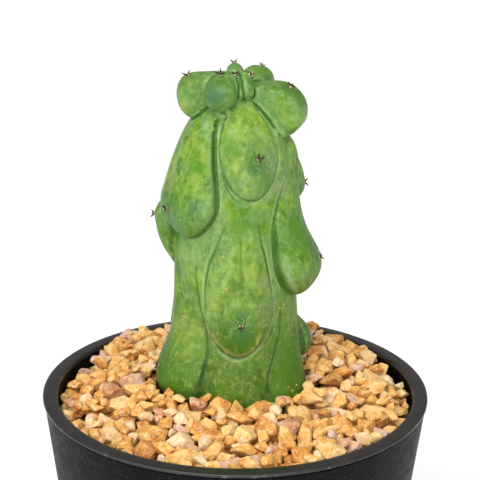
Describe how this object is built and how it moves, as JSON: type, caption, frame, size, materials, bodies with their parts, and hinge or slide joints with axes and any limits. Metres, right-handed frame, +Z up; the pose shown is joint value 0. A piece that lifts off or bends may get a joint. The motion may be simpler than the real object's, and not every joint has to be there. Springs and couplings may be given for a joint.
{
  "type": "potted boobie cactus",
  "caption": "Lumpy green columnar cactus with hanging rounded lobes, growing in a tapered black plastic pot dressed with golden gravel.",
  "frame": {"origin": "middle of the pot's underside, on the surface it stands on", "axes": "+Z up along the pot's axis; -Y towards the side that the picture shows; +X to its right"},
  "size_m": [0.105, 0.105, 0.1795],
  "materials": {
    "black_plastic": "moulded black polypropylene, fine grain on the wall, smooth lip",
    "cactus_skin": null,
    "potting_soil": null,
    "golden_gravel": "crushed quartz gravel, golden, cream and rose, matt with small bright facets"
  },
  "bodies": {
    "root": {"pot": "black_plastic", "cactus": "cactus_skin", "soil": "potting_soil", "gravel": "golden_gravel"}
  },
  "joints": []
}
